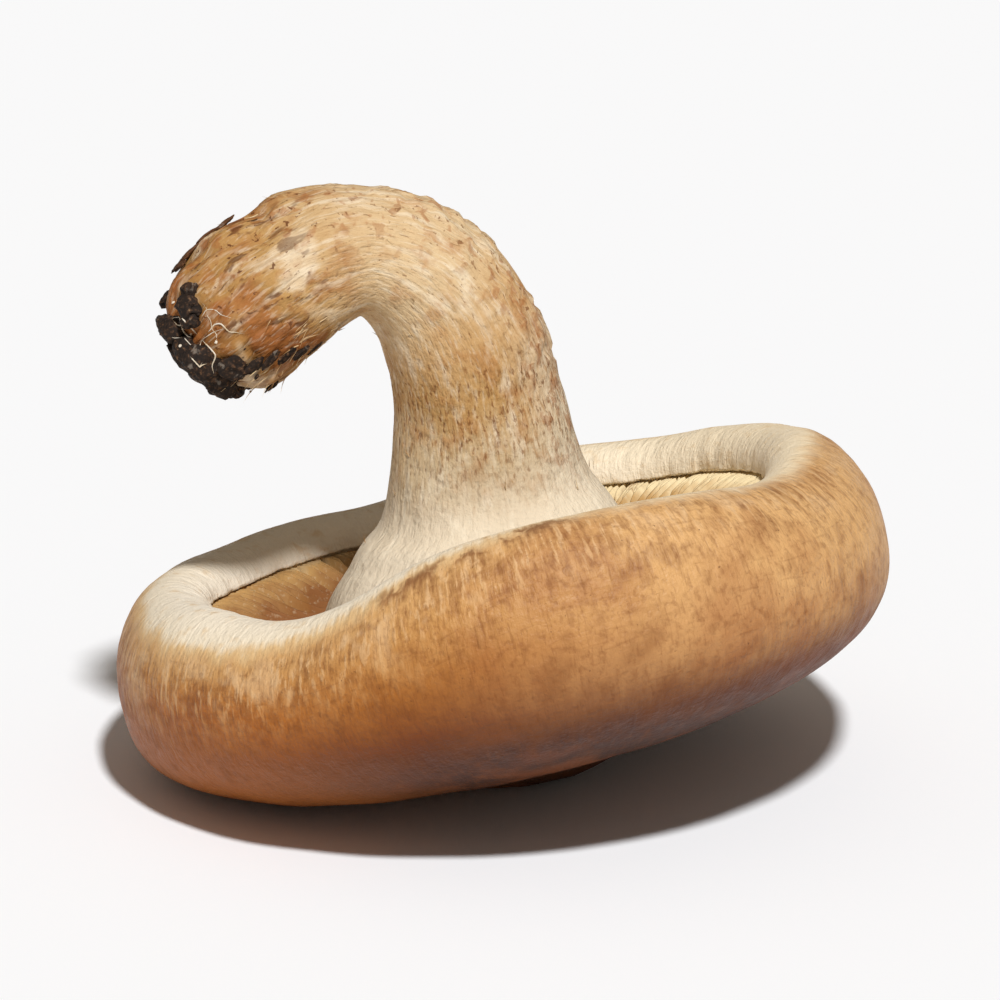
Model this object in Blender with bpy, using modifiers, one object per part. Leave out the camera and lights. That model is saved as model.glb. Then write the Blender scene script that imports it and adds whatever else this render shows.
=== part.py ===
"""A shiitake mushroom as picked, lying on its cap with the gills up and the stem bent over to one side.

Metres, +Z up. The mushroom is modelled round the middle of its margin's crest, and then moved so that the origin
is under the middle of the whole, on the surface that it lies on. The stem bends towards -X.
"""

import math
import random

import bmesh
import bpy
from mathutils import Matrix, Vector, noise

MM = 0.001
GAP = 0.3 * MM  # clearance between neighbouring solids
MERGE = 0.01 * MM
RANDOM_SEED = 7

# The cap in its own upright frame: the crown is at the bottom, on z = 0, and the gills face +Z
CAP_RADIUS = 41.0 * MM
CROWN_DEPTH = 15.4 * MM  # from the crown up to the widest part
CROWN_POWER = 2.6  # 2 would be an ellipse, and more is a flatter bun
MARGIN_RISE = 11.6 * MM  # from the widest part up to the crest of the rolled-in margin
CREST_RADIUS = 33.8 * MM
CREST_HEIGHT = CROWN_DEPTH + MARGIN_RISE
LIP_RADIUS = 29.7 * MM  # the sharp inner edge of the margin
LIP_DROP = 3.9 * MM
FLESH_THICKNESS = 12.2 * MM  # of the cap at its middle, under the gills
HOLLOW_RADIUS = 33.2 * MM  # the hollow reaches this far out under the lip
FLOOR_RISE = 3.4 * MM  # the floor of the hollow climbs this much towards the margin
CAP_STEPS = 60

# How the cap grew out of true
OVAL = 0.004
OVAL_ANGLE = math.radians(95)
LOBE = 0.018
LOBE_ANGLE = math.radians(64)
MARGIN_WAVE = 0.35 * MM
# Where the margin sags (or swells, below 0): degrees round the cap, 0 at +X and 90 at +Y, spread, and mm down
MARGIN_SAGS = [
    (230, 24, 4.3),
    (280, 24, -1.3),
    (335, 34, 1.7),
]

# Gills, in the cap's frame
LONG_GILLS = 48  # as many short ones stand between them
GILL_THICKNESS = 0.66 * MM
GILL_RING_INNER = 22.2 * MM
GILL_RING_OUTER = 32.3 * MM
GILL_RING_THICKNESS = 1.1 * MM
GILL_INNER = 17.0 * MM  # inside the flare of the stem, which trims them
GILL_OUTER = 31.9 * MM
GILL_EDGE_HEIGHT = 18.9 * MM  # of the free edges, over the crown
GILL_EDGE_SAG = 0.9 * MM
GILL_SUNK = 0.45 * MM  # the roots go this far into the ring's underside
SHORT_GILL_INNER = 23.6 * MM

# How the mushroom lies: tipped away from -Y, then rolled towards -X
TILT_BACK = math.radians(10.0)
ROLL_LEFT = math.radians(13.6)

# The crown has a low, broad knob. Under the weight it is pressed to a wide round, and a small flat spot on it is
# what the mushroom rests on. From the crest's middle:
REST_X = 2.6 * MM
REST_Y = -2.7 * MM
REST_DEPTH = 28.8 * MM
REST_ROUND = 360 * MM
REST_SOFTNESS = 0.5 * MM
REST_CUT = 0.12 * MM
KNOB_X = 6.0 * MM
KNOB_Y = -2.2 * MM
KNOB_HEIGHT = 3.4 * MM
KNOB_RADIUS = 10.0 * MM
KNOB_POWER = 2.4

# The stem's centre line from inside the gills to the foot, from the crest's middle: x, y, z and radius, in mm
STEM_LINE = [
    (2.9, -2.2, -12.2, 21.5),
    (2.4, -1.9, -10.3, 20.9),
    (1.8, -1.4, -7.5, 18.5),
    (1.4, -0.8, -4.5, 15.4),
    (1.1, -0.3, -1.4, 12.8),
    (0.6, 0.0, 2.0, 10.8),
    (0.0, 0.1, 6.5, 9.6),
    (-0.7, 0.2, 11.5, 8.8),
    (-1.8, 0.1, 17.0, 8.3),
    (-4.2, -0.2, 22.3, 7.7),
    (-8.2, -0.8, 26.4, 7.1),
    (-12.8, -1.6, 28.0, 6.8),
    (-18.0, -2.8, 27.0, 7.6),
    (-22.6, -4.0, 24.2, 8.1),
    (-26.2, -5.0, 21.1, 7.9),
]
STEM_LINE_STEPS = 2
STEM_RESOLUTION = 10
FOOT_END_LENGTH = 5.6 * MM
FOOT_END_STEPS = 5
STEM_LUMP = 0.35 * MM
STEM_LUMP_SIZE = 7.0 * MM
FOOT_LUMP = 0.9 * MM
FOOT_LUMP_SIZE = 5.0 * MM
FOOT_LUMP_SHIFT = Vector((3.0, 5.0, 1.0))
FOOT_START = 0.70  # the share of the line after which the foot swells
FOOT_BLEND = 8.0 * MM

# Crumbs of bark: degrees round the foot, 0 on top and 90 to -Y, mm back from the foot's end, radius in mm, and
# how far out of the foot its middle stands, as a share of the radius
CRUMBS = [
    (22, 10.6, 1.7, -0.45),
    (20, 9.0, 1.9, -0.45),
    (17, 7.4, 1.9, -0.45),
    (20, 5.8, 1.9, -0.4),
    (35, 4.2, 2.1, -0.3),
    (60, 2.8, 2.3, -0.1),
    (95, 1.8, 2.2, 0.0),
    (138, 2.0, 2.5, 0.0),
    (125, 4.0, 1.9, -0.35),
    (158, 3.8, 2.1, -0.25),
    (163, 5.4, 2.0, -0.35),
    (167, 7.0, 2.0, -0.4),
    (170, 8.6, 2.0, -0.45),
    (172, 10.3, 2.0, -0.45),
    (174, 12.0, 1.9, -0.45),
    (176, 13.6, 1.8, -0.45),
]
CRUMB_JITTER = 0.14


def clear_scene():
    for obj in list(bpy.data.objects):
        bpy.data.objects.remove(obj, do_unlink=True)


def new_collection(name):
    found = bpy.data.collections.new(name)
    bpy.context.scene.collection.children.link(found)
    return found


def make_material(name, colour, roughness):
    """A plain matt material, with its colour in linear values."""
    found = bpy.data.materials.new(name)
    found.use_nodes = True
    shader = found.node_tree.nodes["Principled BSDF"]
    shader.inputs["Base Color"].default_value = (*colour, 1.0)
    shader.inputs["Roughness"].default_value = roughness
    shader.inputs["Metallic"].default_value = 0.0
    return found


def add_object(name, data, collection):
    obj = bpy.data.objects.new(name, data)
    collection.objects.link(obj)
    return obj


def baked_mesh(obj):
    """The mesh that an object's curve or modifiers give. The object is removed."""
    graph = bpy.context.evaluated_depsgraph_get()
    graph.update()
    mesh = bpy.data.meshes.new_from_object(obj.evaluated_get(graph))
    mesh.transform(obj.matrix_world)
    bpy.data.objects.remove(obj, do_unlink=True)
    work = bmesh.new()
    work.from_mesh(mesh)
    bmesh.ops.remove_doubles(work, verts=work.verts, dist=MERGE)
    work.to_mesh(mesh)
    work.free()
    return mesh


def reshape(mesh, rule):
    """Moves every point of a mesh to where the rule puts it."""
    for vertex in mesh.vertices:
        vertex.co = rule(vertex.co)
    mesh.update()


def smooth_step(low, high, value):
    share = min(max((value - low) / (high - low), 0.0), 1.0)
    return share * share * (3.0 - 2.0 * share)


def make_turned(name, outline, steps, closed, collection):
    """Turns an outline of (radius, height) points round Z into a solid mesh."""
    mesh = bpy.data.meshes.new(name + "_outline")
    edges = [(k, k + 1) for k in range(len(outline) - 1)]
    if closed:
        edges.append((len(outline) - 1, 0))
    mesh.from_pydata([(radius, 0.0, height) for radius, height in outline], edges, [])
    obj = add_object(name, mesh, collection)
    screw = obj.modifiers.new("turn", "SCREW")
    screw.steps = steps
    screw.render_steps = steps
    screw.use_merge_vertices = True
    screw.merge_threshold = MERGE
    return baked_mesh(obj)


def floor_height(radius):
    """The height of the flesh under the gills, at a radius."""
    return FLESH_THICKNESS + FLOOR_RISE * (radius / HOLLOW_RADIUS) ** 4


def cap_outline():
    """From the middle of the flesh under the gills, out under the lip, over the margin and down to the crown."""
    points = [(share * HOLLOW_RADIUS, floor_height(share * HOLLOW_RADIUS)) for share in (0.0, 0.5, 0.75, 0.9)]
    low = floor_height(HOLLOW_RADIUS)
    lip = CREST_HEIGHT - LIP_DROP
    for k in range(5):
        turn = math.radians(90) * k / 5
        points.append((
            LIP_RADIUS + (HOLLOW_RADIUS - LIP_RADIUS) * math.cos(turn),
            low + (lip - low) * math.sin(turn),
        ))
    for k in range(5):
        turn = math.radians(90) * k / 5
        points.append((
            CREST_RADIUS - (CREST_RADIUS - LIP_RADIUS) * math.cos(turn),
            lip + LIP_DROP * math.sin(turn),
        ))
    for k in range(8):
        turn = math.radians(90) * k / 8
        points.append((
            CREST_RADIUS + (CAP_RADIUS - CREST_RADIUS) * math.sin(turn),
            CROWN_DEPTH + MARGIN_RISE * math.cos(turn),
        ))
    for k in range(11):
        turn = math.radians(90) * k / 11
        points.append((
            CAP_RADIUS * math.cos(turn) ** (2 / CROWN_POWER),
            CROWN_DEPTH * (1 - math.sin(turn) ** (2 / CROWN_POWER)),
        ))
    points.append((0.0, 0.0))
    return points


def grow(point):
    """Bends a point of the true, turned cap to where growth put it: slightly oval, with a wavy, sagging margin."""
    radius = math.hypot(point.x, point.y)
    angle = math.atan2(point.y, point.x)
    outer = smooth_step(0.35, 1.0, radius / CREST_RADIUS)
    upper = smooth_step(0.25, 1.0, point.z / CREST_HEIGHT)
    oval = OVAL * math.cos(2 * (angle - OVAL_ANGLE)) + LOBE * math.cos(3 * (angle - LOBE_ANGLE))
    stretch = 1.0 + outer * oval
    rise = MARGIN_WAVE * (math.sin(5 * angle + 0.7) + 0.6 * math.sin(8 * angle + 2.1))
    for degrees, spread, drop in MARGIN_SAGS:
        off = math.degrees(math.remainder(angle - math.radians(degrees), math.tau))
        rise -= drop * MM * math.exp(-((off / spread) ** 2))
    return Vector((point.x * stretch, point.y * stretch, point.z + outer * upper * rise))


def lay_down(mesh):
    """From the cap's own frame to how the cap lies, round the middle of the margin's crest."""
    lean = Matrix.Rotation(-ROLL_LEFT, 4, "Y") @ Matrix.Rotation(-TILT_BACK, 4, "X")
    mesh.transform(lean @ Matrix.Translation((0.0, 0.0, -CREST_HEIGHT)))


def press(point):
    """Adds the crown's knob, and presses it to the wide round that the mushroom rests on."""
    low = smooth_step(0.0, -CROWN_DEPTH, point.z + MARGIN_RISE)
    off = math.hypot(point.x - KNOB_X, point.y - KNOB_Y) / KNOB_RADIUS
    height = point.z - KNOB_HEIGHT * low * math.exp(-(off**KNOB_POWER))
    away = math.hypot(point.x - REST_X, point.y - REST_Y)
    ground = away * away / (2 * REST_ROUND) - REST_DEPTH
    over = height - ground
    return Vector((point.x, point.y, ground + (over + math.hypot(over, REST_SOFTNESS)) / 2))


def cut_flat(mesh):
    """Cuts the small flat spot that the mushroom rests on."""
    work = bmesh.new()
    work.from_mesh(mesh)
    height = min(vertex.co.z for vertex in work.verts) + REST_CUT
    everything = work.verts[:] + work.edges[:] + work.faces[:]
    cut = bmesh.ops.bisect_plane(
        work, geom=everything, plane_co=(0, 0, height), plane_no=(0, 0, 1), clear_inner=True
    )
    rim = [item for item in cut["geom_cut"] if isinstance(item, bmesh.types.BMEdge)]
    bmesh.ops.contextual_create(work, geom=rim)
    bmesh.ops.recalc_face_normals(work, faces=work.faces)
    work.to_mesh(mesh)
    work.free()


def make_cap(collection, material):
    mesh = make_turned("cap_turned", cap_outline(), CAP_STEPS, False, collection)
    reshape(mesh, grow)
    lay_down(mesh)
    reshape(mesh, press)
    cut_flat(mesh)
    mesh.shade_smooth()
    cap = add_object("cap", mesh, collection)
    mesh.materials.append(material)
    return cap


def gill_outline(inner):
    """One gill seen flat, as (radius, height) points round its edge. It starts at this radius at its free edge."""
    first = max(inner, GILL_RING_INNER + GILL_SUNK)
    root = []
    for share in (0.0, 0.5, 1.0):
        radius = first + (GILL_OUTER - first) * share
        root.append((radius, floor_height(radius) + GAP + GILL_SUNK))
    free = []
    for share in (1.0, 0.75, 0.45, 0.18):
        radius = inner + (GILL_OUTER - inner) * share
        sag = GILL_EDGE_SAG * math.sin(math.pi * (radius - GILL_INNER) / (GILL_OUTER - GILL_INNER))
        free.append((radius, GILL_EDGE_HEIGHT - sag))
    if inner == GILL_INNER:
        free += [(inner, GILL_EDGE_HEIGHT), (inner + GILL_SUNK, (GILL_EDGE_HEIGHT + root[0][1]) / 2)]
    return root + free


def make_gill(name, inner, angle, collection):
    """One flat gill, standing at an angle round the cap's axis."""
    flat = bpy.data.curves.new(name, "CURVE")
    flat.dimensions = "2D"
    flat.fill_mode = "BOTH"
    flat.extrude = GILL_THICKNESS / 2
    spline = flat.splines.new("POLY")
    outline = gill_outline(inner)
    spline.points.add(len(outline) - 1)
    spline.use_cyclic_u = True
    for point, (radius, height) in zip(spline.points, outline):
        point.co = (radius, height, 0.0, 1.0)
    obj = add_object(name, flat, collection)
    obj.matrix_world = Matrix.Rotation(angle, 4, "Z") @ Matrix.Rotation(math.radians(90), 4, "X")
    bpy.context.view_layer.update()
    return add_object(name, baked_mesh(obj), collection)


def make_gills(collection, cutters, stem_room, material):
    """Long and short gills in turn, fused at their roots to a thin ring of flesh, and trimmed round the stem."""
    draw = random.Random(RANDOM_SEED)
    radii = [GILL_RING_INNER + (GILL_RING_OUTER - GILL_RING_INNER) * k / 3 for k in range(4)]
    top = [(radius, floor_height(radius) + GAP + GILL_RING_THICKNESS) for radius in radii]
    bottom = [(radius, floor_height(radius) + GAP) for radius in reversed(radii)]
    ring_mesh = make_turned("gill_ring", top + bottom, CAP_STEPS, True, collection)
    ring = add_object("gill_ring", ring_mesh, collection)
    blades = new_collection("gill_blades")
    cutters.children.link(blades)
    bpy.context.scene.collection.children.unlink(blades)
    step = math.tau / (2 * LONG_GILLS)
    for k in range(2 * LONG_GILLS):
        inner = GILL_INNER
        if k % 2:
            inner = SHORT_GILL_INNER + draw.uniform(-1.0, 2.5) * MM
        make_gill(f"gill_{k}", inner, (k + draw.uniform(-0.08, 0.08)) * step, blades)
    union = ring.modifiers.new("gills", "BOOLEAN")
    union.operation = "UNION"
    union.operand_type = "COLLECTION"
    union.collection = blades
    mesh = baked_mesh(ring)
    for blade in list(blades.objects):
        bpy.data.objects.remove(blade, do_unlink=True)
    reshape(mesh, grow)
    lay_down(mesh)
    mesh.materials.append(material)
    gills = add_object("gills", mesh, collection)
    trim = gills.modifiers.new("round_the_stem", "BOOLEAN")
    trim.operation = "DIFFERENCE"
    trim.object = stem_room
    return gills


def catmull_rom(before, start, end, after, share):
    """A point between start and end on the smooth line through all four, for tuples of any length."""
    return tuple(
        0.5 * (2 * b + (c - a) * share + (2 * a - 5 * b + 4 * c - d) * share**2 + (3 * b - a - 3 * c + d) * share**3)
        for a, b, c, d in zip(before, start, end, after)
    )


def stem_points():
    """The stem's centre line as (place, radius), finely stepped, with a rounded end on the foot."""
    rows = [STEM_LINE[0]] + STEM_LINE + [STEM_LINE[-1]]
    fine = []
    for k in range(1, len(rows) - 2):
        for step in range(STEM_LINE_STEPS):
            fine.append(catmull_rom(*rows[k - 1:k + 3], step / STEM_LINE_STEPS))
    fine.append(STEM_LINE[-1])
    points = [(Vector(row[:3]) * MM, row[3] * MM) for row in fine]
    last, radius = points[-1]
    along = (last - points[-2][0]).normalized()
    for k in range(1, FOOT_END_STEPS + 1):
        turn = math.radians(86) * k / FOOT_END_STEPS
        points.append((last + along * FOOT_END_LENGTH * math.sin(turn), radius * math.cos(turn)))
    return points


def make_stem(collection, material):
    line = stem_points()
    curve = bpy.data.curves.new("stem", "CURVE")
    curve.dimensions = "3D"
    curve.bevel_depth = MM
    curve.bevel_resolution = STEM_RESOLUTION
    curve.use_fill_caps = True
    spline = curve.splines.new("POLY")
    spline.points.add(len(line) - 1)
    for point, (place, radius) in zip(spline.points, line):
        point.co = (*place, 1.0)
        point.radius = radius / MM
    mesh = baked_mesh(add_object("stem_line", curve, collection))
    foot_x = line[int(FOOT_START * len(line))][0].x
    moved = []
    for vertex in mesh.vertices:
        foot = smooth_step(-foot_x, -foot_x + FOOT_BLEND, -vertex.co.x)
        lump = STEM_LUMP * noise.noise(vertex.co / STEM_LUMP_SIZE)
        lump += foot * FOOT_LUMP * noise.noise(vertex.co / FOOT_LUMP_SIZE + FOOT_LUMP_SHIFT)
        moved.append(vertex.co + vertex.normal * lump)
    for vertex, place in zip(mesh.vertices, moved):
        vertex.co = place
    mesh.update()
    mesh.shade_smooth()
    mesh.materials.append(material)
    return add_object("stem", mesh, collection)


def make_stem_room(stem, cutters):
    """The stem and its clearance, which the gills and the bark are cut by."""
    mesh = stem.data.copy()
    moved = [vertex.co + vertex.normal * GAP for vertex in mesh.vertices]
    for vertex, place in zip(mesh.vertices, moved):
        vertex.co = place
    mesh.update()
    room = add_object("stem_room", mesh, cutters)
    room.hide_render = True
    room.display_type = "WIRE"
    return room


def foot_place(back, angle):
    """A point on the foot's surface, this far back from its end and round it, and the direction out of it."""
    line = stem_points()
    left = back
    k = len(line) - 1
    while k > 1 and left > (line[k][0] - line[k - 1][0]).length:
        left -= (line[k][0] - line[k - 1][0]).length
        k -= 1
    end, end_radius = line[k]
    start, start_radius = line[k - 1]
    share = left / (end - start).length
    place = end.lerp(start, share)
    radius = end_radius + (start_radius - end_radius) * share
    along = (end - start).normalized()
    up = (Vector((0, 0, 1)) - along * along.z).normalized()
    side = up.cross(along)
    out = up * math.cos(angle) + side * math.sin(angle)
    return place + out * radius, out


def make_bark(collection, cutters, stem_room, material):
    """Crumbs of bark on the foot, run together to one crust.

    The manifold solver is used because the exact one returns nothing for this many touching crumbs.
    """
    draw = random.Random(RANDOM_SEED)
    crumbs = new_collection("bark_crumbs")
    cutters.children.link(crumbs)
    bpy.context.scene.collection.children.unlink(crumbs)
    made = []
    for k, (degrees, back, radius, lift) in enumerate(CRUMBS):
        place, out = foot_place(back * MM, math.radians(degrees))
        place += out * radius * MM * lift
        mesh = bpy.data.meshes.new(f"crumb_{k}")
        work = bmesh.new()
        bmesh.ops.create_icosphere(work, subdivisions=2, radius=radius * MM)
        for vertex in work.verts:
            vertex.co *= 1 + draw.uniform(-CRUMB_JITTER, CRUMB_JITTER)
        work.to_mesh(mesh)
        work.free()
        mesh.transform(Matrix.Translation(place))
        made.append(add_object(f"crumb_{k}", mesh, crumbs if k else collection))
    crust = made[0]
    union = crust.modifiers.new("crumbs", "BOOLEAN")
    union.operation = "UNION"
    union.operand_type = "COLLECTION"
    union.collection = crumbs
    union.solver = "MANIFOLD"
    mesh = baked_mesh(crust)
    for crumb in list(crumbs.objects):
        bpy.data.objects.remove(crumb, do_unlink=True)
    mesh.materials.append(material)
    bark = add_object("bark_crust", mesh, collection)
    trim = bark.modifiers.new("round_the_foot", "BOOLEAN")
    trim.operation = "DIFFERENCE"
    trim.solver = "MANIFOLD"
    trim.object = stem_room
    return bark


def put_on_ground(objects, cutters):
    """Moves everything so that the origin is under the middle of the whole, on the ground."""
    bpy.context.view_layer.update()
    graph = bpy.context.evaluated_depsgraph_get()
    places = []
    for obj in objects:
        shown = obj.evaluated_get(graph)
        places += [shown.matrix_world @ vertex.co for vertex in shown.data.vertices]
    low = [min(place[k] for place in places) for k in range(3)]
    high = [max(place[k] for place in places) for k in range(3)]
    base = bpy.data.objects.new("mushroom", None)
    bpy.context.scene.collection.objects.link(base)
    for obj in objects + cutters:
        obj.parent = base
    base.location = (-(low[0] + high[0]) / 2, -(low[1] + high[1]) / 2, -low[2])


def main():
    clear_scene()
    collection = new_collection("shiitake_mushroom")
    cutters = new_collection("cutters")
    skin = make_material("cap_skin", (0.45, 0.21, 0.065), 0.6)
    cream = make_material("gill_flesh", (0.76, 0.58, 0.36), 0.8)
    tan = make_material("stem_flesh", (0.66, 0.45, 0.24), 0.8)
    dark = make_material("bark", (0.06, 0.035, 0.022), 0.9)
    cap = make_cap(collection, skin)
    stem = make_stem(collection, tan)
    stem_room = make_stem_room(stem, cutters)
    gills = make_gills(collection, cutters, stem_room, cream)
    bark = make_bark(collection, cutters, stem_room, dark)
    put_on_ground([cap, stem, gills, bark], [stem_room])


main()
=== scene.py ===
# A shiitake mushroom lying on its cap, gills up, its stem bent over to the left
import math
import random

import bmesh
import bpy
from mathutils import Matrix, Vector, noise
from mathutils.bvhtree import BVHTree


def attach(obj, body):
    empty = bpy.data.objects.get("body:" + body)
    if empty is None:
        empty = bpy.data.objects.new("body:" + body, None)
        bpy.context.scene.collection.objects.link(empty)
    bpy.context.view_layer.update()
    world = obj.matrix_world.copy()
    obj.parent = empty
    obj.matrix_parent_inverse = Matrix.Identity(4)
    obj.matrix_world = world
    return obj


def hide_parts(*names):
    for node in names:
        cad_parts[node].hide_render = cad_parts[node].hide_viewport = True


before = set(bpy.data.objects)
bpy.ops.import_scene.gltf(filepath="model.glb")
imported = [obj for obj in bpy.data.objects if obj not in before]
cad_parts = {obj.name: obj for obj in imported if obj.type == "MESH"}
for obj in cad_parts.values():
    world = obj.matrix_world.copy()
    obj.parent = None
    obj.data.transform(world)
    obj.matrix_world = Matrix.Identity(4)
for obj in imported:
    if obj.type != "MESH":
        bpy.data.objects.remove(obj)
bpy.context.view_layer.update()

mm = 0.001
crest = Vector((-2.0051, 1.8438, 28.6135)) * mm  # the middle of the margin's crest: all is built round it
draw = random.Random(11)


def smoothStep(low, high, value):
    share = min(max((value - low) / (high - low), 0.0), 1.0)
    return share * share * (3.0 - 2.0 * share)


def hexColour(code):
    # sRGB hex to the linear values that Blender's sockets take
    parts = [int(code[k:k + 2], 16) / 255 for k in (1, 3, 5)]
    return (*[c / 12.92 if c <= 0.04045 else ((c + 0.055) / 1.055) ** 2.4 for c in parts], 1.0)


def addNode(tree, kind, settings=None, inputs=None, stops=None):
    # a node with its settings, its values or links, and a ramp's stops as (place, hex)
    node = tree.nodes.new(kind)
    for name, value in (settings or {}).items():
        setattr(node, name, value)
    for name, value in (inputs or {}).items():
        if isinstance(value, bpy.types.NodeSocket):
            tree.links.new(value, node.inputs[name])
        else:
            node.inputs[name].default_value = value
    for k, (place, code) in enumerate(stops or []):
        ramp = node.color_ramp.elements
        element = ramp[k] if k < 2 else ramp.new(place)
        element.position = place
        element.color = hexColour(code)
    return node


def newMaterial(name, ior, specular, sheen=0.0):
    material = bpy.data.materials.new(name)
    material.use_nodes = True
    shader = material.node_tree.nodes["Principled BSDF"]
    shader.inputs["IOR"].default_value = ior
    shader.inputs["Specular IOR Level"].default_value = specular
    shader.inputs["Sheen Weight"].default_value = sheen
    return material, material.node_tree, shader


def addPatterns(tree, place, sizes):
    # a noise for each named size in mm: one number is even all round, two go across the surface and along
    solid = addNode(tree, "ShaderNodeTexCoord").outputs["Object"]
    patterns = {}
    for name, size in sizes.items():
        even = not isinstance(size, tuple)
        scale = (1 / (size * mm),) * 3 if even else (1 / size[0], 1 / size[0], 1 / size[1])
        vector = solid if even else place
        scaled = addNode(tree, "ShaderNodeMapping", {}, {"Vector": vector, "Scale": scale})
        patterns[name] = addNode(tree, "ShaderNodeTexNoise", {}, {
            "Vector": scaled.outputs[0], "Scale": 1.0, "Detail": 3.0, "Roughness": 0.55, "Distortion": 0.3
        }).outputs[0]
    return patterns


def addUp(tree, total, parts):
    # total, plus each (value, weight) of parts multiplied
    for value, weight in parts:
        total = addNode(tree, "ShaderNodeMath", {"operation": "MULTIPLY_ADD"}, {
            0: value, 1: weight, 2: total
        }).outputs[0]
    return total


def addMasks(tree, sources, finish):
    # named places on the surface: each is 0 to 1 between two values of a source, or two places multiplied
    masks = {"everywhere": 1.0}
    for name, source, low, high in finish["places"]:
        masks[name] = addNode(tree, "ShaderNodeMapRange", {"interpolation_type": "SMOOTHSTEP"}, {
            "Value": sources[source], "From Min": low, "From Max": high
        }).outputs[0]
    for name, one, two in finish["placesInBoth"]:
        masks[name] = addNode(tree, "ShaderNodeMath", {"operation": "MULTIPLY"}, {
            0: masks[one], 1: masks[two]
        }).outputs[0]
    return masks


def colourByLength(tree, length, stops, shift):
    # a ramp of colours at lengths in mm; shift is the mean of what was added to make the length wander
    first, last = stops[0][0], stops[-1][0]
    share = addNode(tree, "ShaderNodeMapRange", {}, {
        "Value": length, "From Min": first + shift, "From Max": last + shift
    })
    return addNode(tree, "ShaderNodeValToRGB", {}, {"Fac": share.outputs[0]}, [
        ((stop - first) / (last - first), code) for stop, code in stops
    ]).outputs[0]


def paintLayers(tree, tone, finish, sources, masks):
    # each layer: what drives it, from, to, how much, where, and its colour's name
    for source, low, high, much, where, name in finish["layers"]:
        amount = addNode(tree, "ShaderNodeMapRange", {"interpolation_type": "SMOOTHSTEP"}, {
            "Value": sources[source], "From Min": low, "From Max": high, "To Max": much
        })
        amount = addNode(tree, "ShaderNodeMath", {"operation": "MULTIPLY", "use_clamp": True}, {
            0: amount.outputs[0], 1: masks[where]
        })
        tone = addNode(tree, "ShaderNodeMix", {"data_type": "RGBA"}, {
            0: amount.outputs[0], 6: tone, 7: hexColour(finish[name])
        }).outputs[2]
    return tone


def addBump(tree, shader, finish, sources):
    # a bump of so many mm from the weighted patterns
    height = addUp(tree, 0.0, [(sources[name], weight) for name, weight in finish["relief"]])
    bump = addNode(tree, "ShaderNodeBump", {}, {"Height": height, "Distance": finish["bump"] * mm})
    tree.links.new(bump.outputs[0], shader.inputs["Normal"])


def newPiece(name, work, material, replaced=None):
    # a finished mesh as a smooth piece at the origin, riding with the mushroom
    mesh = bpy.data.meshes.new(name)
    work.to_mesh(mesh)
    work.free()
    mesh.shade_smooth()
    mesh.materials.append(material)
    piece = bpy.data.objects.new(name, mesh)
    bpy.context.scene.collection.objects.link(piece)
    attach(piece, "root")
    if replaced:
        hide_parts(replaced)
    print(name, len(mesh.polygons), "faces")
    return piece


def wrapGrid(work, sides, rows, place, mark=None):
    # a grid rolled up into a closed tube: place(share round, row) gives a point, mark writes an attribute
    made = bmesh.ops.create_grid(work, x_segments=sides, y_segments=rows - 1, size=0.5)["verts"]
    for vertex in made:
        share, row = vertex.co.x + 0.5, round((vertex.co.y + 0.5) * (rows - 1))
        vertex.co = place(share, row)
        if mark:
            mark(vertex, share, row)
    bmesh.ops.remove_doubles(work, verts=made, dist=0.001 * mm)


def tubeFrames(line, side=None):
    # for each (place, radius) of a line: place, radius, two ways across it that don't twist, and ahead
    frames = []
    for k, (place, radius) in enumerate(line):
        ahead = (line[min(k + 1, len(line) - 1)][0] - line[max(k - 1, 0)][0]).normalized()
        side = side or ahead.orthogonal()
        side = (side - ahead * side.dot(ahead)).normalized()
        frames.append((place, radius, side, ahead.cross(side), ahead))
    return frames


def addThread(work, line, sides):
    frames = tubeFrames(line)

    def place(share, row):
        middle, radius, side, other, ahead = frames[row]
        turn = math.tau * share
        return middle + (side * math.cos(turn) + other * math.sin(turn)) * radius

    wrapGrid(work, sides, len(line), place)


# How the cap grew, and how it lies. The same values as the solid's, in mm and degrees
capShape = {
    "capRadius": 41.0, "crownDepth": 15.4, "crownPower": 2.6, "marginRise": 11.6,
    "crestRadius": 33.8, "crestHeight": 27.0, "lipRadius": 29.7, "lipDrop": 3.9,
    "fleshThickness": 12.2, "hollowRadius": 33.2, "floorRise": 3.4,
    "oval": 0.004, "ovalAngle": 95, "lobe": 0.018, "lobeAngle": 64, "outerFrom": 0.35, "upperFrom": 0.25,
    "marginWave": 0.35, "waves": [(5, 0.7, 1.0), (8, 2.1, 0.6)],  # times round, phase, share
    "marginSags": [(230, 24, 4.3), (280, 24, -1.3), (335, 34, 1.7)],
    "tiltBack": 10.0, "rollLeft": 13.6,
    "restX": 2.6, "restY": -2.7, "restDepth": 28.8, "restRound": 360, "restSoftness": 0.5,
    "knobX": 6.0, "knobY": -2.2, "knobHeight": 3.4, "knobRadius": 10.0, "knobPower": 2.4,
}
lean = (
    Matrix.Rotation(-math.radians(capShape["rollLeft"]), 4, "Y")
    @ Matrix.Rotation(-math.radians(capShape["tiltBack"]), 4, "X")
    @ Matrix.Translation((0.0, 0.0, -capShape["crestHeight"]))
)


def floorHeight(radius):
    return capShape["fleshThickness"] + capShape["floorRise"] * (radius / capShape["hollowRadius"]) ** 4


def bumpsRound(angle, bumps):
    # the sum at this angle of soft bumps given as (degrees, spread, height)
    total = 0.0
    for degrees, spread, height in bumps:
        off = math.degrees(math.remainder(angle - math.radians(degrees), math.tau))
        total += height * math.exp(-((off / spread) ** 2))
    return total


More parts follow.
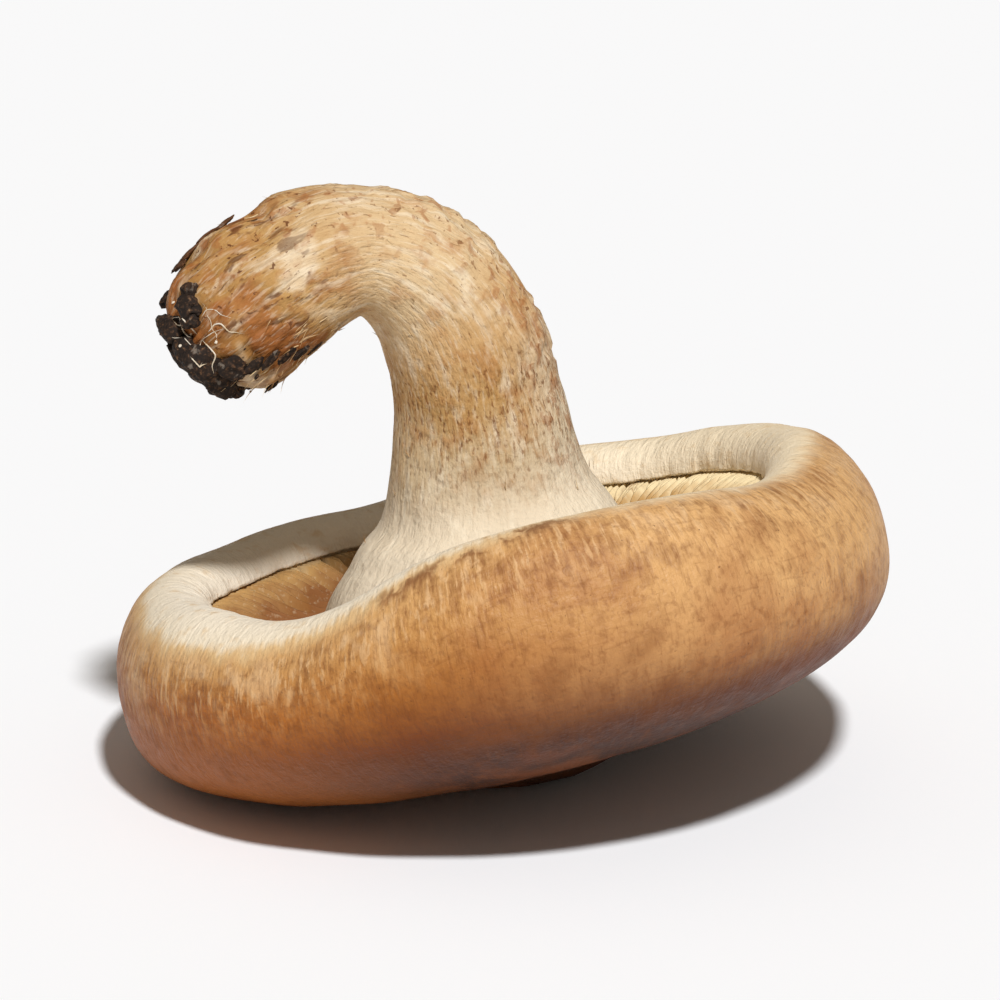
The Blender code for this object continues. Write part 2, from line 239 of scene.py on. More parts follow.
def grow(point):
    # a point of the true, turned cap, in mm, moved to where growth put it
    s = capShape
    angle = math.atan2(point.y, point.x)
    outer = smoothStep(s["outerFrom"], 1.0, math.hypot(point.x, point.y) / s["crestRadius"])
    upper = smoothStep(s["upperFrom"], 1.0, point.z / s["crestHeight"])
    stretch = 1.0 + outer * (
        s["oval"] * math.cos(2 * (angle - math.radians(s["ovalAngle"])))
        + s["lobe"] * math.cos(3 * (angle - math.radians(s["lobeAngle"])))
    )
    rise = -bumpsRound(angle, s["marginSags"])
    for times, phase, share in s["waves"]:
        rise += s["marginWave"] * share * math.sin(times * angle + phase)
    return Vector((point.x * stretch, point.y * stretch, point.z + outer * upper * rise))


def press(point):
    # the crown's low knob, pressed to the wide round that the mushroom lies on
    s = capShape
    low = smoothStep(0.0, -s["crownDepth"], point.z + s["marginRise"])
    off = math.hypot(point.x - s["knobX"], point.y - s["knobY"]) / s["knobRadius"]
    height = point.z - s["knobHeight"] * low * math.exp(-(off ** s["knobPower"]))
    away = math.hypot(point.x - s["restX"], point.y - s["restY"])
    ground = away * away / (2 * s["restRound"]) - s["restDepth"]
    over = height - ground
    return Vector((point.x, point.y, ground + (over + math.hypot(over, s["restSoftness"])) / 2))


def inScene(point):
    return point * mm + crest


# The cap's skin and the inner side of its margin, finer than the solid
capMesh = {
    "stepsRound": 330,
    "stepsFloor": 10, "stepsUndercut": 12, "stepsInnerRoll": 22, "stepsOuterRoll": 40, "stepsCrown": 42,
    "outside": (-1.5, 3.0), "inside": (-0.6, -3.0), "insideEnd": (-16.0, -8.0),  # from and to, in mm along
    "swell": 0.22, "swellSize": 8.0, "swellFrom": (-14.0, -4.0),  # slow lumps of the flesh under the skin
    "fibril": 0.05, "fibrilWidth": 1.0, "fibrilLength": 14.0,  # fibrils run from the margin to the crown
    "wrinkle": 0.09, "wrinkleWidth": 1.6, "wrinkleLength": 14.0,  # fine wrinkles along the margin
    "wrinkleMiddle": 4.0, "wrinkleSpread": 8.0,
    "pleat": 0.2, "pleatWidth": 1.3, "pleatLength": 9.0,  # radial pleats on the inner roll
    "lipFray": 0.45, "lipFraySize": 2.6,
    "paleReach": [(213, 34, 5.0), (252, 22, 2.0), (20, 30, 1.2)],  # degrees, spread, mm out over the crest
}


def capOutline():
    # (radius, height, mm along the skin from the crest, below 0 inside), from hollow's middle to crown's
    s, steps = capShape, capMesh
    quarter = math.radians(90)
    points = []
    for k in range(steps["stepsFloor"]):
        radius = s["hollowRadius"] * (k / steps["stepsFloor"]) ** 0.7
        points.append((radius, floorHeight(radius)))
    low = floorHeight(s["hollowRadius"])
    lip = s["crestHeight"] - s["lipDrop"]
    for k in range(steps["stepsUndercut"]):
        turn = quarter * k / steps["stepsUndercut"]
        radius = s["lipRadius"] + (s["hollowRadius"] - s["lipRadius"]) * math.cos(turn)
        points.append((radius, low + (lip - low) * math.sin(turn)))
    for k in range(steps["stepsInnerRoll"]):
        turn = quarter * k / steps["stepsInnerRoll"]
        radius = s["crestRadius"] - (s["crestRadius"] - s["lipRadius"]) * math.cos(turn)
        points.append((radius, lip + s["lipDrop"] * math.sin(turn)))
    top = len(points)
    for k in range(steps["stepsOuterRoll"]):
        turn = quarter * k / steps["stepsOuterRoll"]
        radius = s["crestRadius"] + (s["capRadius"] - s["crestRadius"]) * math.sin(turn)
        points.append((radius, s["crownDepth"] + s["marginRise"] * math.cos(turn)))
    for k in range(steps["stepsCrown"]):
        turn = quarter * k / steps["stepsCrown"]
        radius = s["capRadius"] * math.cos(turn) ** (2 / s["crownPower"])
        points.append((radius, s["crownDepth"] * (1 - math.sin(turn) ** (2 / s["crownPower"]))))
    points.append((0.0, 0.0))
    lengths = [0.0]
    for (r0, z0), (r1, z1) in zip(points, points[1:]):
        lengths.append(lengths[-1] + math.hypot(r1 - r0, z1 - z0))
    return [(radius, height, length - lengths[top]) for (radius, height), length in zip(points, lengths)]


def capRelief(angle, along, place):
    # how far the skin stands out here, in mm
    s = capMesh
    x, y = math.cos(angle), math.sin(angle)
    outside = smoothStep(*s["outside"], along)
    inside = smoothStep(*s["inside"], along) * smoothStep(*s["insideEnd"], along)
    relief = s["swell"] * noise.noise(place / s["swellSize"]) * smoothStep(*s["swellFrom"], along)
    width = capShape["capRadius"] / s["fibrilWidth"]
    relief += outside * s["fibril"] * noise.noise(Vector((x * width, y * width, along / s["fibrilLength"])))
    width = capShape["capRadius"] / s["wrinkleLength"]
    nearCrest = math.exp(-((along - s["wrinkleMiddle"]) / s["wrinkleSpread"]) ** 2)
    wrinkle = noise.noise(Vector((x * width, y * width, along / s["wrinkleWidth"] + 7)))
    relief += outside * nearCrest * s["wrinkle"] * wrinkle
    width = capShape["lipRadius"] / s["pleatWidth"]
    pleat = noise.noise(Vector((x * width, y * width, along / s["pleatLength"] + 3)))
    return relief + inside * s["pleat"] * (pleat - 0.5 * abs(pleat))


def makeCap(material):
    work = bmesh.new()
    along = work.verts.layers.float.new("along")
    last = None
    for radius, height, length in capOutline():
        vertex = work.verts.new((radius, 0.0, height))
        vertex[along] = length
        if last:
            work.edges.new((last, vertex))
        last = vertex
    bmesh.ops.spin(
        work, geom=work.verts[:] + work.edges[:], axis=(0, 0, 1), cent=(0, 0, 0), angle=math.tau,
        steps=capMesh["stepsRound"], use_merge=True
    )
    bmesh.ops.remove_doubles(work, verts=work.verts, dist=0.001)
    bmesh.ops.recalc_face_normals(work, faces=work.faces)
    work.normal_update()
    skinPlace = work.verts.layers.float_vector.new("skinPlace")
    outward = [vertex.normal.copy() for vertex in work.verts]
    lip = capShape["crestHeight"] - capShape["lipDrop"]
    for vertex, normal in zip(work.verts, outward):
        angle = math.atan2(vertex.co.y, vertex.co.x)
        length = vertex[along]
        around = Vector((math.cos(angle), math.sin(angle), 0))
        x, y = around.xy * capShape["capRadius"]
        vertex[skinPlace] = (x, y, length - bumpsRound(angle, capMesh["paleReach"]))
        point = vertex.co + normal * capRelief(angle, length, vertex.co)
        offLip = math.hypot(math.hypot(point.x, point.y) - capShape["lipRadius"], point.z - lip)
        size = capShape["lipRadius"] / capMesh["lipFraySize"]
        fray = capMesh["lipFray"] * noise.noise(Vector((around.x * size, around.y * size, 5)))
        point -= around * fray * math.exp(-(offLip ** 2))
        point = inScene(press(lean @ grow(point)))
        vertex.co = (point.x, point.y, max(point.z, 0.0))
    return newPiece("capSkin", work, material, "cap")


# Cap skin: a thin, dry, fibrous cuticle. Satin, so highlights are broad; tan at the margin, browner below,
# partly its own colour and partly painted shade
capFinish = {
    # painted light in this ramp: paler just past the crest as a painted highlight; the deep browns towards
    # the crown are partly the skin's own colour and partly painted shade of the low side
    "byDistance": [  # mm outwards from the skin's edge, which stands near the crest
        (-6.0, "#f6ebd8"), (-1.0, "#f1e2c8"), (0.4, "#dfbc8a"), (2.0, "#d1a269"), (7.0, "#bf8a4e"),
        (13.0, "#a06226"), (19.0, "#733912"), (25.0, "#4c230a"), (32.0, "#3a1c0b"), (56.0, "#351b0e"),
    ],
    "sizes": {
        "wander": 3.2, "streak": (0.7, 2.8), "fibril": (0.36, 1.9), "wrinkle": (5.0, 0.7),
        "pebble": 0.75, "mottle": 1.9, "cloud": 5.5, "blotch": 11.0, "pit": 0.55,
    },
    # painted shade over a real browner tone: the low left end of the skin darkens sooner
    "edgeWander": 2.4, "shadeToLeft": -0.14,  # the left darkens sooner
    "highlightFrost": "#e3c095", "orangeAndShadeLeft": "#b5692a", "paleAndHighlightRight": "#deb078", "pale": "#d3a268",
    "dark": "#754018", "red": "#8f4c22", "pitDark": "#4f2a12", "rimLine": "#7d4c28",
    "marginStain": "#d9b582", "marginRight": "#f7e4c2",
    "places": [  # name, source, and the two values in mm between which it comes in
        ("outside", "distance", 2.1, 5.4), ("inside", "distance", 5.4, 2.1),
        ("near", "distance", 17.4, 5.4), ("band", "distance", 12.4, 6.4), ("upper", "distance", 28.4, 16.4),
        ("far", "distance", 3.4, 11.4), ("front", "forward", -38.5, -40.2),
    ],
    "placesInBoth": [
        ("nearRim", "near", "outside"), ("highlightBand", "band", "outside"), ("upperSkin", "upper", "outside"),
        ("rim", "outside", "inside"), ("frontRim", "rim", "front"),
    ],
    "layers": [
        # partly a real paler tone and partly painted highlight: the upper skin on the right, towards the
        # light, is made paler
        ("right", -12.0, 34.0, 0.75, "upperSkin", "paleAndHighlightRight"),
        # partly a real orange tone and partly painted shade: the left end is made oranger and darker
        ("right", -8.0, -36.0, 0.6, "far", "orangeAndShadeLeft"),
        ("blotch", 0.48, 0.68, 0.4, "outside", "red"), ("cloud", 0.52, 0.7, 0.4, "outside", "dark"),
        ("cloud", 0.5, 0.34, 0.35, "nearRim", "pale"), ("mottle", 0.5, 0.7, 0.33, "outside", "dark"),
        ("mottle", 0.48, 0.3, 0.4, "nearRim", "pale"), ("streak", 0.5, 0.66, 0.6, "nearRim", "pale"),
        # painted highlight: pale highlight streaks in a band above the crest
        ("streak", 0.48, 0.34, 0.42, "nearRim", "dark"), ("cloud", 0.48, 0.36, 0.35, "highlightBand", "highlightFrost"),
        ("streak", 0.52, 0.64, 0.4, "highlightBand", "highlightFrost"), ("pebble", 0.52, 0.7, 0.25, "nearRim", "pale"),
        ("pebble", 0.48, 0.3, 0.3, "outside", "dark"), ("fibril", 0.48, 0.28, 0.3, "outside", "dark"),
        ("wrinkle", 0.6, 0.72, 0.22, "outside", "dark"), ("pit", 0.7, 0.77, 0.75, "outside", "pitDark"),
        ("right", -10.0, 35.0, 0.8, "inside", "marginRight"),
        ("mottle", 0.54, 0.74, 0.5, "inside", "marginStain"),
        ("wander", 0.44, 0.53, 3.2, "frontRim", "rimLine"),
    ],
    "roughness": (0.42, 0.6), "roughFrom": (0.3, 0.7), "bump": 0.13,
    "relief": [
        ("fibril", 0.6), ("streak", 1.2), ("wrinkle", 0.6), ("pit", -0.8), ("mottle", 1.2), ("pebble", 1.0),
    ],
}


def capMaterial():
    f = capFinish
    material, tree, shader = newMaterial("shiitakeCapSkin", 1.42, 0.3)
    skin = addNode(tree, "ShaderNodeAttribute", {"attribute_name": "skinPlace"}).outputs["Vector"]
    sources = addPatterns(tree, skin, f["sizes"])
    split = addNode(tree, "ShaderNodeSeparateXYZ", {}, {0: skin})
    sources["right"], sources["forward"] = split.outputs["X"], split.outputs["Y"]
    # the edge of the skin wanders and frays
    edge = [(sources[name], f["edgeWander"]) for name in ("wander", "streak")]
    sources["distance"] = addUp(tree, split.outputs["Z"], edge)
    masks = addMasks(tree, sources, f)
    left = addNode(tree, "ShaderNodeMath", {"operation": "MULTIPLY"}, {0: masks["far"], 1: f["shadeToLeft"]})
    darker = addUp(tree, sources["distance"], [(sources["right"], left.outputs[0])])
    tone = colourByLength(tree, darker, f["byDistance"], f["edgeWander"])
    tone = paintLayers(tree, tone, f, sources, masks)
    tree.links.new(tone, shader.inputs["Base Color"])
    rough = addNode(tree, "ShaderNodeMapRange", {}, {
        "Value": sources["mottle"], "From Min": f["roughFrom"][0], "From Max": f["roughFrom"][1],
        "To Min": f["roughness"][0], "To Max": f["roughness"][1]
    })
    tree.links.new(rough.outputs[0], shader.inputs["Roughness"])
    addBump(tree, shader, f, sources)
    return material


makeCap(capMaterial())


# Gills: thin plates in three lengths, from the stem to the margin's lip. In mm, before the cap is turned
gillShape = {
    "long": 96, "thicknessEdge": 0.16, "thicknessRoot": 0.34, "rows": 13,
    "inner": 17.3, "outer": 33.0, "middleInner": 22.6, "shortInner": 27.0, "innerSpread": 1.6,
    "edgeHeight": 18.9, "edgeWave": 0.25, "sway": 0.22, "swaySize": 5.0,
    "lipHeight": 22.85, "bowlStart": 21.5, "bowlEnd": 29.8,  # the edges climb to just under the lip
    "rise": 1.6, "riseAngle": 50, "riseStart": -0.75,  # and stand higher towards the back and right
    "bunches": 44, "rootBunching": 0.15, "edgeBunching": 0.8, "bunchStep": 0.7,  # edges lean together
    "sunk": 0.35, "unevenness": 0.18, "rootSway": 0.3, "edgeWaveSize": 2.2, "shortRise": (-0.15, 0.3),
}


def addGill(work, angle, inner, seed, outward):
    s = gillShape
    rows = s["rows"]
    higher = s["rise"] * smoothStep(s["riseStart"], 0.9, math.cos(angle - math.radians(s["riseAngle"])))
    higher += s["bunchStep"] * noise.noise(Vector((round(angle * s["bunches"] / math.tau) * 1.7, 2, 0)))
    together = math.sin(s["bunches"] * angle) / s["bunches"]

    def radiusAt(row):
        return inner + (s["outer"] - inner) * row / (rows - 1)

    def place(share, row):
        radius = radiusAt(row)
        corner = round(share * 4) % 4  # root and edge on one side, then edge and root on the other
        low = floorHeight(radius) - s["sunk"]
        wave = noise.noise(Vector((radius / s["edgeWaveSize"], seed * 3.7, 0)))
        top = s["edgeHeight"] + higher + s["edgeWave"] * wave
        top += (s["lipHeight"] - top) * smoothStep(s["bowlStart"], s["bowlEnd"], radius)
        if inner > s["inner"] + 1:
            top = low + (top - low) * smoothStep(*s["shortRise"], row / (rows - 1))
        onEdge = corner in (1, 2)
        thick = s["thicknessEdge"] if onEdge else s["thicknessRoot"]
        thick *= 0.0 if row in (0, rows - 1) else 1.0
        side = thick / 2 if corner < 2 else -thick / 2
        sway = s["sway"] * (1.0 if onEdge else s["rootSway"])
        side += sway * noise.noise(Vector((radius / s["swaySize"], seed * 1.3, 4)))
        turn = angle + side / radius + together * (s["edgeBunching"] if onEdge else s["rootBunching"])
        point = Vector((radius * math.cos(turn), radius * math.sin(turn), top if onEdge else low))
        return inScene(lean @ grow(point))

    def mark(vertex, share, row):
        vertex[outward] = radiusAt(row)

    wrapGrid(work, 4, rows, place, mark)


def makeGills(material):
    s = gillShape
    work = bmesh.new()
    outward = work.verts.layers.float.new("outward")
    count = s["long"] * 4
    for k in range(count):
        inner = s["inner"]
        if k % 4 == 2:
            inner = s["middleInner"] + draw.uniform(-1, 1) * s["innerSpread"]
        if k % 2:
            inner = s["shortInner"] + draw.uniform(-1, 1) * s["innerSpread"]
        angle = (k + draw.uniform(-1, 1) * s["unevenness"]) * math.tau / count
        addGill(work, angle, inner, k, outward)
    bmesh.ops.recalc_face_normals(work, faces=work.faces)
    return newPiece("fineGills", work, material, "gills")


# Gill flesh: soft, matt and thin; cream near the margin, tan and brown across the deep of the hollow in
# towards the stem, partly its own darker tone at the roots and partly painted shade
gillFinish = {
    # the dark middle of this ramp is partly painted shade of the hollow under the lip
    "byRadius": [  # mm from the axis
        (15.5, "#e2cda6"), (19.5, "#90603a"), (23.0, "#875730"), (27.0, "#bb935c"), (30.0, "#ead6ab"),
    ],
    "sizes": {"bruise": 4.0, "fine": 0.6},
    # painted shade: the gills on the left lie deeper in shadow and are made browner
    "wander": 7.0, "shadeToLeft": 90.0,  # the left is browner, by so many mm of radius a metre
    "bruiseBrown": "#8a5828", "pale": "#f4e6c4",
    "layers": [
        ("bruise", 0.58, 0.72, 0.6, "everywhere", "bruiseBrown"),
        ("fine", 0.55, 0.75, 0.2, "everywhere", "pale"),
    ],
    "bump": 0.06, "relief": [("fine", 1.0)],
}


def gillMaterial():
    f = gillFinish
    material, tree, shader = newMaterial("shiitakeGillFlesh", 1.38, 0.25)
    shader.inputs["Roughness"].default_value = 0.78
    radius = addNode(tree, "ShaderNodeAttribute", {"attribute_name": "outward"}).outputs["Fac"]
    sources = addPatterns(tree, None, f["sizes"])
    solid = addNode(tree, "ShaderNodeTexCoord").outputs["Object"]
    across = addNode(tree, "ShaderNodeSeparateXYZ", {}, {0: solid}).outputs["X"]
    radius = addUp(tree, radius, [(sources["bruise"], f["wander"]), (across, f["shadeToLeft"])])
    tone = colourByLength(tree, radius, f["byRadius"], f["wander"] / 2)
    tone = paintLayers(tree, tone, f, sources, {"everywhere": 1.0})
    tree.links.new(tone, shader.inputs["Base Color"])
    addBump(tree, shader, f, sources)
    return material


makeGills(gillMaterial())


# The stem's middle line: x, y, z from the crest's middle and the radius, in mm, as in the solid
stemShape = {
    "line": [
        (2.9, -2.2, -12.2, 21.5), (2.4, -1.9, -10.3, 20.9), (1.8, -1.4, -7.5, 18.5), (1.4, -0.8, -4.5, 15.4),
        (1.1, -0.3, -1.4, 12.8), (0.6, 0.0, 2.0, 10.8), (0.0, 0.1, 6.5, 9.6), (-0.7, 0.2, 11.5, 8.8),
        (-1.8, 0.1, 17.0, 8.3), (-4.2, -0.2, 22.3, 7.7), (-8.2, -0.8, 26.4, 7.1), (-12.8, -1.6, 28.0, 6.8),
        (-18.0, -2.8, 27.0, 7.6), (-22.6, -4.0, 24.2, 8.1), (-26.2, -5.0, 21.1, 7.9),
    ],
    "stepsAStretch": 12, "sides": 150, "endLength": 5.6, "endSteps": 16, "patternRadius": 8.0,
    "lump": 0.35, "lumpSize": 7.0, "footLump": 0.9, "footLumpSize": 5.0, "footLumpShift": (3.0, 5.0, 1.0),
    "footStart": -15.0, "footBlend": 8.0,
    "fibre": 0.04, "fibreWidth": 0.7, "fibreLength": 2.4,
    "furrow": 0.55, "furrowWidth": 2.1, "furrowLength": 4.5,
    "peel": 0.3, "peelSize": 1.5, "peelEdge": (0.1, 0.25),  # scales on the outer side of the bend
    "peelSide": (0.1, 0.8), "peelFrom": (24.0, 28.0), "peelTo": (50.0, 46.0), "furrowShare": 0.3,
}


def stemLine():
    # finely stepped (place, radius) in mm, with a rounded end on the foot
    s = stemShape
    rows = [s["line"][0]] + s["line"] + [s["line"][-1]]
    fine = []
    for k in range(1, len(rows) - 2):
        for step in range(s["stepsAStretch"]):
            t = step / s["stepsAStretch"]
            fine.append([
                0.5 * (
                    2 * b + (c - a) * t + (2 * a - 5 * b + 4 * c - d) * t**2
                    + (3 * b - a - 3 * c + d) * t**3
                )
                for a, b, c, d in zip(*rows[k - 1:k + 3])
            ])
    fine.append(s["line"][-1])
    points = [(Vector(row[:3]), row[3]) for row in fine]
    last, radius = points[-1]
    along = (last - points[-2][0]).normalized()
    for k in range(1, s["endSteps"] + 1):
        turn = math.radians(90) * k / s["endSteps"]
        points.append((last + along * s["endLength"] * math.sin(turn), radius * math.cos(turn)))
    return points


stemFrames = tubeFrames(stemLine(), Vector((1, 0, 0)))  # turn 0 is on the outer side of the bend
stemLengths = [0.0]
for one, two in zip(stemFrames, stemFrames[1:]):
    stemLengths.append(stemLengths[-1] + (two[0] - one[0]).length)


def stemRelief(point, turn, length):
    s = stemShape
    foot = smoothStep(-s["footStart"], -s["footStart"] + s["footBlend"], -point.x)
    relief = s["lump"] * noise.noise(point / s["lumpSize"])
    relief += foot * s["footLump"] * noise.noise(point / s["footLumpSize"] + Vector(s["footLumpShift"]))
    wide = s["patternRadius"] / s["fibreWidth"]
    fibre = noise.noise(Vector((math.cos(turn) * wide, math.sin(turn) * wide, length / s["fibreLength"])))
    relief += s["fibre"] * (0.5 - abs(fibre) * 2)
    wide = s["patternRadius"] / s["furrowWidth"]
    along = length / s["furrowLength"] + 9
    furrow = noise.noise(Vector((math.cos(turn) * wide, math.sin(turn) * wide, along)))
    outer = smoothStep(*s["peelSide"], math.cos(turn))
    outer *= smoothStep(*s["peelFrom"], length) * smoothStep(*s["peelTo"], length)
    relief += outer * s["peel"] * smoothStep(*s["peelEdge"], noise.noise(point / s["peelSize"]))
    return relief - foot * s["furrow"] * max(0.0, 1 - abs(furrow) / s["furrowShare"])


def stemPoint(turn, row):
    middle, radius, side, other, ahead = stemFrames[row]
    out = side * math.cos(turn) + other * math.sin(turn)
    point = middle + out * radius
    return point + out * stemRelief(point, turn, stemLengths[row]) * min(1.0, radius / 3), out, ahead


def makeStem(material):
    work = bmesh.new()
    stemPlace = work.verts.layers.float_vector.new("stemPlace")

    def place(share, row):
        return inScene(stemPoint(math.tau * share, row)[0])

    def mark(vertex, share, row):
        turn, radius = math.tau * share, stemShape["patternRadius"]
        vertex[stemPlace] = (math.cos(turn) * radius, math.sin(turn) * radius, stemLengths[row])

    wrapGrid(work, stemShape["sides"], len(stemFrames), place, mark)
    bmesh.ops.contextual_create(work, geom=[edge for edge in work.edges if edge.is_boundary])
    bmesh.ops.recalc_face_normals(work, faces=work.faces)
    return newPiece("stemFlesh", work, material, "stem")


# Stem flesh: tough and fibrous, torn fibres on its skin; matt, white at the flare and browner to the foot
stemFinish = {
    "byLength": [  # mm along the stem from inside the gills
        (0.0, "#f0e3cc"), (14.0, "#dfceb3"), (20.0, "#cdb48e"), (26.0, "#bd945d"), (33.0, "#c69e6b"),
        (40.0, "#d7ba90"), (48.0, "#d0b084"), (54.0, "#bd945c"), (60.0, "#ae824a"), (68.0, "#9a6c36"),
    ],
    "sizes": {
        "fibre": (0.36, 1.7), "wisp": (1.3, 5.0), "dash": (0.32, 1.0), "furrow": (1.6, 3.2),
        "stain": 3.0, "patch": 8.0, "scale": 1.5, "fleck": 0.8,
    },
    "lengthWander": 10.0,
    "fibreBrown": "#a3733f", "dashBrown": "#7a4a22", "stainBrown": "#b17a45", "scaleBrown": "#a0602f",
    "pale": "#f3e6cd", "crackBrown": "#5a2f14", "footBrown": "#7f491a",
    "places": [  # mm along the stem, mm to its outer side, and height in metres, where the foot turns brown
        ("middle", "along", 12.0, 24.0), ("foot", "along", 46.0, 56.0), ("outer", "outward", 2.0, 7.5),
        ("streaky", "along", 36.0, 26.0), ("footLow", "height", 0.0546, 0.049),
    ],
    "placesInBoth": [
        ("outerMiddle", "outer", "middle"), ("footUnder", "foot", "footLow"),
        ("streaks", "streaky", "middle"),
    ],
    "layers": [
        ("wisp", 0.5, 0.32, 0.45, "everywhere", "pale"), ("outward", 2.5, 7.5, 0.4, "streaky", "pale"),
        ("stain", 0.5, 0.68, 0.5, "middle", "stainBrown"),
        ("patch", 0.4, 0.6, 0.85, "footUnder", "footBrown"),
        ("patch", 0.46, 0.34, 0.4, "foot", "pale"), ("patch", 0.5, 0.62, 0.7, "foot", "scaleBrown"),
        ("stain", 0.54, 0.68, 0.6, "foot", "footBrown"), ("fibre", 0.48, 0.32, 0.25, "middle", "pale"),
        ("fibre", 0.5, 0.66, 0.5, "streaks", "fibreBrown"),
        ("fibre", 0.56, 0.7, 0.25, "middle", "fibreBrown"),
        ("dash", 0.54, 0.64, 0.6, "streaks", "dashBrown"), ("dash", 0.64, 0.7, 0.6, "middle", "dashBrown"),
        ("scale", 0.54, 0.63, 0.5, "outerMiddle", "scaleBrown"),
        ("fleck", 0.62, 0.69, 0.75, "outerMiddle", "dashBrown"),
        ("furrow", 0.59, 0.66, 0.7, "foot", "crackBrown"), ("fleck", 0.64, 0.7, 0.75, "foot", "crackBrown"),
    ],
    "bump": 0.24,
    "relief": [
        ("fibre", 0.7), ("dash", -0.5), ("furrow", -1.2), ("stain", 1.0), ("fleck", 0.5), ("scale", 0.8),
    ],
}


def stemMaterial():
    f = stemFinish
    material, tree, shader = newMaterial("shiitakeStemFlesh", 1.4, 0.3)
    shader.inputs["Roughness"].default_value = 0.74
    place = addNode(tree, "ShaderNodeAttribute", {"attribute_name": "stemPlace"}).outputs["Vector"]
    sources = addPatterns(tree, place, f["sizes"])
    split = addNode(tree, "ShaderNodeSeparateXYZ", {}, {0: place})
    solid = addNode(tree, "ShaderNodeTexCoord").outputs["Object"]
    sources["outward"], sources["along"] = split.outputs["X"], split.outputs["Z"]
    sources["height"] = addNode(tree, "ShaderNodeSeparateXYZ", {}, {0: solid}).outputs["Z"]
    wandered = addUp(tree, sources["along"], [(sources["patch"], f["lengthWander"])])
    tone = colourByLength(tree, wandered, f["byLength"], f["lengthWander"] / 2)
    tone = paintLayers(tree, tone, f, sources, addMasks(tree, sources, f))
    tree.links.new(tone, shader.inputs["Base Color"])
    addBump(tree, shader, f, sources)
    return material


stemPiece = makeStem(stemMaterial())


# Crumbs of bark and soil that came off the log with the foot. Degrees round the foot, 0 on top and 90 in
# front, mm back from its end, half sizes in mm along the stem, round it and out of it, and lift out of it
barkShape = {
    "lumps": [
        # the upper lump
        (27, 4.7, 1.0, 1.1, 0.7, 0.1), (35, 3.7, 1.5, 1.5, 1.1, 0.1), (44, 2.8, 1.1, 1.2, 0.8, 0.0),
        # the big lump on the end
        (22, 1.2, 1.7, 1.7, 1.1, 0.0), (6, 0.9, 1.3, 1.4, 1.0, 0.0), (58, 0.7, 1.7, 2.0, 1.2, 0.2),
        (86, 1.2, 2.3, 2.5, 1.6, 0.1), (112, 1.0, 2.0, 2.5, 1.5, 0.1), (142, 0.8, 1.7, 2.3, 1.3, 0.0),
        (101, 2.7, 1.6, 1.7, 1.0, 0.0), (165, 1.4, 1.3, 1.6, 0.9, 0.0),
        # a thin strip under the foot
        (108, 4.3, 1.3, 0.7, 0.3, 0.0), (114, 5.9, 1.4, 0.6, 0.28, 0.0), (122, 7.5, 1.3, 0.6, 0.28, 0.0),
        (131, 9.0, 1.2, 0.55, 0.26, 0.0), (141, 10.5, 1.1, 0.5, 0.24, 0.0), (150, 4.4, 1.1, 0.8, 0.3, 0.0),
        # flakes along the top left
        (-20, 7.4, 1.6, 1.3, 0.3, 0.1), (-22, 9.4, 1.5, 1.0, 0.28, 0.1), (-18, 11.2, 1.5, 0.9, 0.26, 0.05),
        (-14, 5.8, 1.1, 0.9, 0.3, 0.0),
        # and behind
        (200, 2.6, 1.3, 1.4, 0.9, 0.0), (250, 2.4, 1.2, 1.5, 0.8, 0.0), (310, 2.6, 1.4, 1.3, 0.7, 0.0),
        # a thin crust over the end itself
        (120, 0.15, 1.2, 2.4, 2.2, 0.0), (190, 0.7, 1.2, 2.3, 2.0, 0.0), (243, 0.9, 1.1, 2.2, 2.0, 0.0),
        (300, 0.6, 1.1, 2.3, 1.9, 0.0), (345, 0.5, 1.0, 1.9, 1.7, 0.0), (222, 2.2, 1.1, 1.8, 1.0, 0.0),
        (300, 0.0, 1.2, 3.2, 2.8, 0.0), (215, 0.1, 1.1, 2.4, 2.2, 0.0),
    ],
    "small": 26, "smallRadius": (0.12, 0.3), "smallScatter": (9, 1.2), "detail": 4, "smallDetail": 2,
    "rough": 0.36, "roughSize": 1.3, "chip": 0.5, "chipSize": 0.8, "grit": 0.07, "gritSize": 0.7,
}


def footPlace(degrees, back):
    # a point on the foot's true surface, and the directions along the stem, round it and out of it
    k = len(stemFrames) - 1
    while k > 1 and stemLengths[-1] - stemLengths[k] < back:
        k -= 1
    middle, radius, side, other, ahead = stemFrames[k]
    up = (Vector((0, 0, 1)) - ahead * ahead.z).normalized()
    front = up.cross(ahead)
    turn = math.radians(degrees)
    out = up * math.cos(turn) + front * math.sin(turn)
    return middle + out * radius, ahead, ahead.cross(out), out


def addCrumb(work, place, axes, sizes, detail, seed):
    s = barkShape
    for vertex in bmesh.ops.create_icosphere(work, subdivisions=detail, radius=1)["verts"]:
        way = vertex.co.copy()
        rough = 1 + s["rough"] * noise.noise(way / s["roughSize"] + Vector((seed, 0, 3)))
        rough -= s["chip"] * abs(noise.noise(way / s["chipSize"] + Vector((0, seed, 1))))
        offset = sum((axis * part * size * rough for axis, part, size in zip(axes, way, sizes)), Vector())
        grit = s["grit"] * noise.noise((place + offset) / s["gritSize"])
        vertex.co = inScene(place + offset + offset.normalized() * grit)


def makeBark(material):
    s = barkShape
    work = bmesh.new()
    for k, (degrees, back, long, wide, high, lift) in enumerate(s["lumps"]):
        place, ahead, across, out = footPlace(degrees, back)
        addCrumb(work, place + out * lift, (ahead, across, out), (long, wide, high), s["detail"], k * 5.1)
    for k in range(s["small"]):
        degrees, back = draw.choice(s["lumps"])[:2]
        radius = draw.uniform(*s["smallRadius"])
        degrees += draw.gauss(0, s["smallScatter"][0])
        back = max(0.3, back + draw.gauss(0, s["smallScatter"][1]))
        place, ahead, across, out = footPlace(degrees, back)
        sizes = (radius * draw.uniform(0.8, 1.7), radius, radius * 0.8)
        addCrumb(work, place + out * radius * 0.2, (ahead, across, out), sizes, s["smallDetail"], k * 3.3)
    bmesh.ops.recalc_face_normals(work, faces=work.faces)
    return newPiece("barkCrumbs", work, material, "bark_crust")


